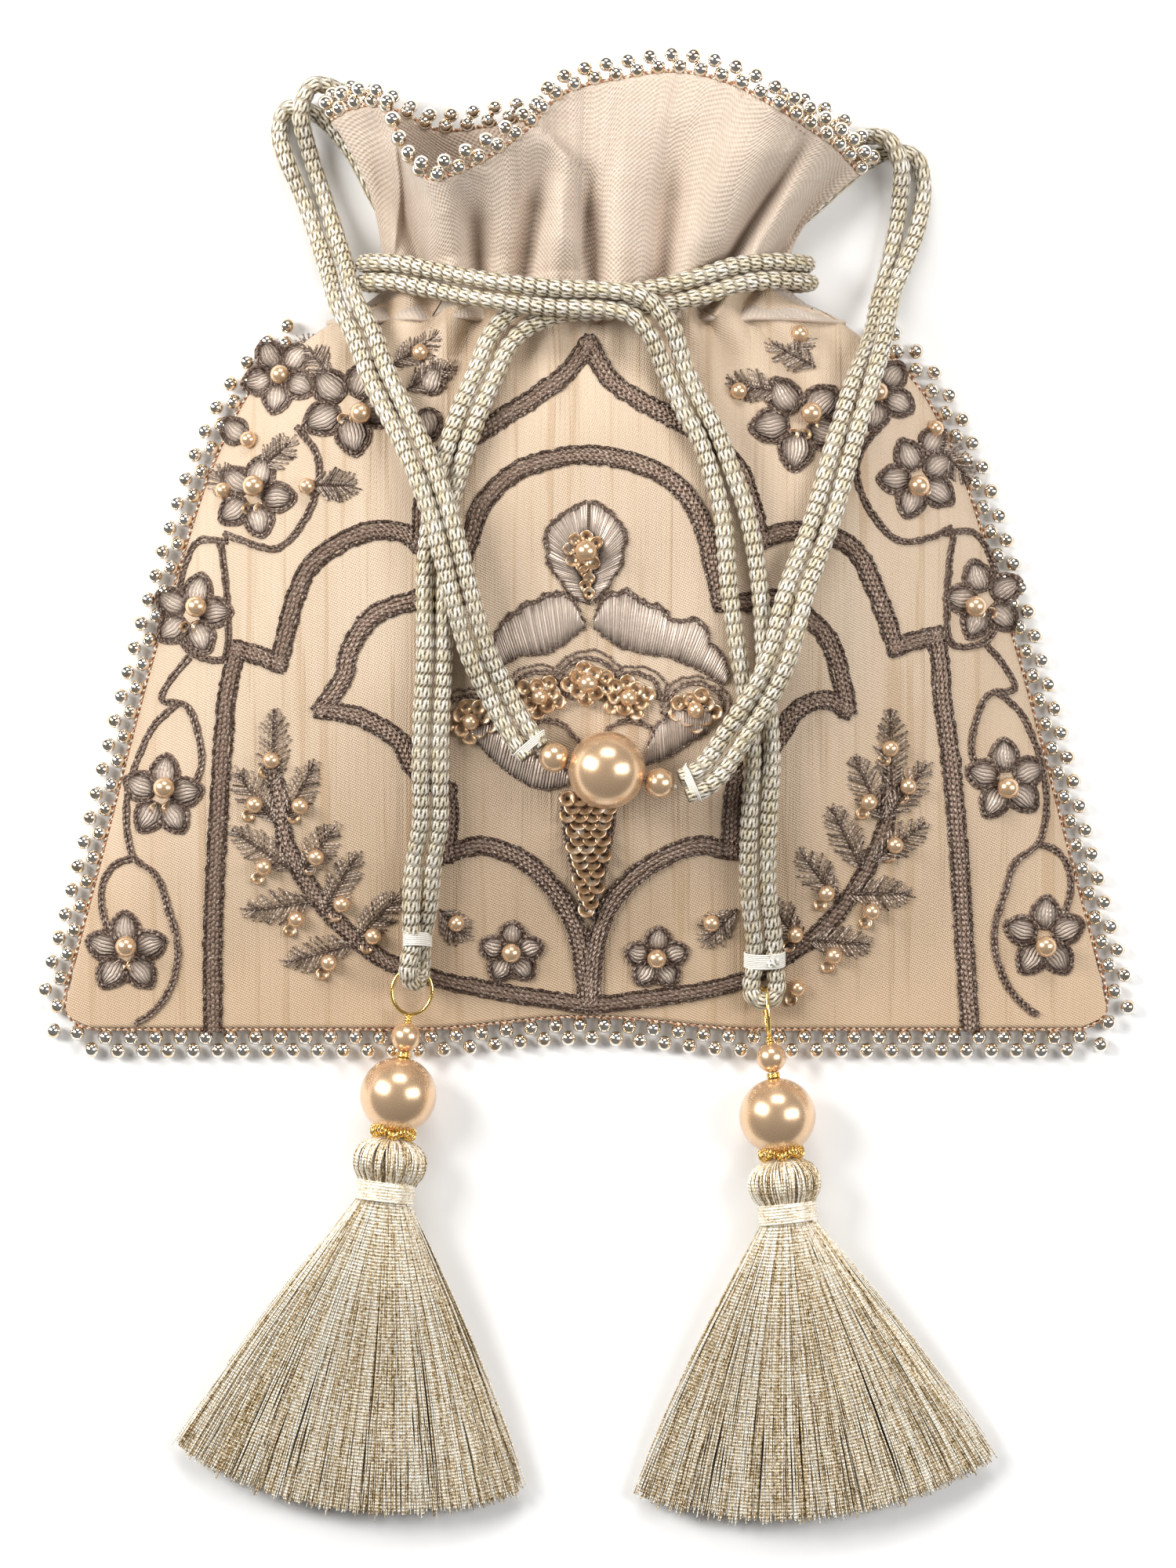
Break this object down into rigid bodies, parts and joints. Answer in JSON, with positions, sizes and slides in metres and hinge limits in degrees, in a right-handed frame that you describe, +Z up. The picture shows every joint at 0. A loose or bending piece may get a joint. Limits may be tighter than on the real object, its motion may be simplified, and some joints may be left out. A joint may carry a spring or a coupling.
{
  "type": "potli bag",
  "caption": "Embroidered silk drawstring pouch with beaded edges, a cord handle with beads, and two tasselled drawstring ends.",
  "frame": {"origin": "on the resting surface, under the middle of the bag without its cords and tassels", "axes": "+Y from the bottom seam towards the mouth, +X to the right seen from the front, +Z up out of the embroidered front"},
  "size_m": [0.2236, 0.3015, 0.0367],
  "materials": {
    "silk": "champagne woven silk with fine slubs, embroidered on the front",
    "matka_silk": "plain coarse basket-weave silk",
    "lining_satin": "smooth champagne satin",
    "edging_beads": "small round mirror-bright beads on copper thread",
    "metallic_cord": "knitted silver and gold metallic cord",
    "white_thread": "white cotton thread",
    "gold_pearl": "satin gold pearl coating",
    "gold_wire": "bright gold wire",
    "tassel_thread": "fine champagne-gold metallic thread"
  },
  "bodies": {
    "bag": {"front_panel": "silk", "back_panel": "silk", "lining": "lining_satin", "collar": "matka_silk", "mouth_bead_edging": "edging_beads", "side_bead_edging": "edging_beads", "drawstring_strand_1": "metallic_cord", "drawstring_strand_2": "metallic_cord", "left_cord_bend": "metallic_cord", "right_cord_bend": "metallic_cord", "left_cord_whipping": "white_thread", "right_cord_whipping": "white_thread", "handle_left_inner_strand": "metallic_cord", "handle_left_outer_strand": "metallic_cord", "handle_right_inner_strand": "metallic_cord", "handle_right_outer_strand": "metallic_cord", "handle_left_whipping": "white_thread", "handle_right_whipping": "white_thread", "handle_thread": "white_thread", "flower_pearl_left_1": "gold_pearl", "flower_pearl_left_2": "gold_pearl", "flower_pearl_left_3": "gold_pearl", "flower_pearl_left_4": "gold_pearl", "flower_pearl_left_5": "gold_pearl", "flower_pearl_right_1": "gold_pearl", "flower_pearl_right_2": "gold_pearl", "flower_pearl_right_3": "gold_pearl", "flower_pearl_right_4": "gold_pearl", "flower_pearl_right_5": "gold_pearl", "centre_motif_pearl": "gold_pearl"},
    "handle_large_bead": {"handle_large_bead": "gold_pearl"},
    "handle_left_small_bead": {"handle_left_small_bead": "gold_pearl"},
    "handle_right_small_bead": {"handle_right_small_bead": "gold_pearl"},
    "left_tassel": {"left_tassel_wire_eye": "gold_wire", "left_tassel_spacer": "gold_wire", "left_tassel_bullion_ring": "gold_wire", "left_tassel_threads": "tassel_thread", "left_tassel_neck_binding": "tassel_thread"},
    "left_tassel_small_bead": {"left_tassel_small_bead": "gold_pearl"},
    "left_tassel_large_bead": {"left_tassel_large_bead": "gold_pearl"},
    "right_tassel": {"right_tassel_wire_eye": "gold_wire", "right_tassel_spacer": "gold_wire", "right_tassel_bullion_ring": "gold_wire", "right_tassel_threads": "tassel_thread", "right_tassel_neck_binding": "tassel_thread"},
    "right_tassel_small_bead": {"right_tassel_small_bead": "gold_pearl"},
    "right_tassel_large_bead": {"right_tassel_large_bead": "gold_pearl"}
  },
  "joints": [
    {"name": "handle_large_bead_spin", "type": "hinge", "parent": "bag", "child": "handle_large_bead", "pos_m": [0.0042, -0.0444, 0.0289], "axis": [0.9715, -0.2368, 0], "continuous": true},
    {"name": "handle_left_small_bead_spin", "type": "hinge", "parent": "bag", "child": "handle_left_small_bead", "pos_m": [-0.00649, -0.04179, 0.0289], "axis": [0.9715, -0.2368, 0], "continuous": true},
    {"name": "handle_right_small_bead_spin", "type": "hinge", "parent": "bag", "child": "handle_right_small_bead", "pos_m": [0.01489, -0.047, 0.0289], "axis": [0.9715, -0.2368, 0], "continuous": true},
    {"name": "left_tassel_swing", "type": "hinge", "parent": "bag", "child": "left_tassel", "pos_m": [-0.035, -0.0848, 0.0108], "axis": [0, 0, 1], "range_deg": [-2, 8]},
    {"name": "left_tassel_small_bead_spin", "type": "hinge", "parent": "left_tassel", "child": "left_tassel_small_bead", "pos_m": [-0.03687, -0.09898, 0.008], "axis": [-0.1305, -0.9914, 0], "continuous": true},
    {"name": "left_tassel_large_bead_spin", "type": "hinge", "parent": "left_tassel", "child": "left_tassel_large_bead", "pos_m": [-0.03843, -0.11088, 0.008], "axis": [-0.1305, -0.9914, 0], "continuous": true},
    {"name": "right_tassel_swing", "type": "hinge", "parent": "bag", "child": "right_tassel", "pos_m": [0.0364, -0.089, 0.0081], "axis": [0, 0, 1], "range_deg": [-5, 30]},
    {"name": "right_tassel_small_bead_spin", "type": "hinge", "parent": "right_tassel", "child": "right_tassel_small_bead", "pos_m": [0.03789, -0.10322, 0.008], "axis": [0.1045, -0.9945, 0], "continuous": true},
    {"name": "right_tassel_large_bead_spin", "type": "hinge", "parent": "right_tassel", "child": "right_tassel_large_bead", "pos_m": [0.03915, -0.11516, 0.008], "axis": [0.1045, -0.9945, 0], "continuous": true}
  ]
}
